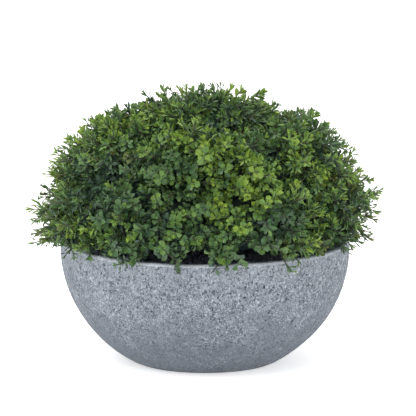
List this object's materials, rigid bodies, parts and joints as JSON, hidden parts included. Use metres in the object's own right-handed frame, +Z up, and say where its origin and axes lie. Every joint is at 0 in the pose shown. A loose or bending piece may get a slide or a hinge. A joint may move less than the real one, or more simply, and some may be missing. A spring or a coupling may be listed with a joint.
{
  "type": "artificial hebe ball in a bowl planter",
  "caption": "Artificial hebe shrub, a low dome of small spoon-shaped leaves that swells over the rim of a half-round, stone-look bowl planter with a flat underside.",
  "frame": {"origin": "centre of the bowl's flat underside, on the surface that the planter stands on", "axes": "+Z up, the axis that the bowl is turned about; -Y towards the front of the plant, where the crown's lower edge is a little higher; +X to the right seen from the front"},
  "size_m": [0.37, 0.3677, 0.2909],
  "materials": {
    "bowl": "matte",
    "fill": "matte",
    "stem": "matte",
    "foliage": "satin"
  },
  "bodies": {
    "root": {"bowl": "bowl", "potting_fill": "fill", "stem": "stem", "bough_top": "stem", "bough_upper_1": "stem", "bough_upper_2": "stem", "bough_upper_3": "stem", "bough_upper_4": "stem", "bough_upper_5": "stem", "bough_lower_1": "stem", "bough_lower_2": "stem", "bough_lower_3": "stem", "bough_lower_4": "stem", "bough_lower_5": "stem", "bough_lower_6": "stem", "bough_lower_7": "stem", "bough_lower_8": "stem", "foliage_top": "foliage", "foliage_upper_1": "foliage", "foliage_upper_2": "foliage", "foliage_upper_3": "foliage", "foliage_upper_4": "foliage", "foliage_upper_5": "foliage", "foliage_lower_1": "foliage", "foliage_lower_2": "foliage", "foliage_lower_3": "foliage", "foliage_lower_4": "foliage", "foliage_lower_5": "foliage", "foliage_lower_6": "foliage", "foliage_lower_7": "foliage", "foliage_lower_8": "foliage"}
  },
  "joints": []
}
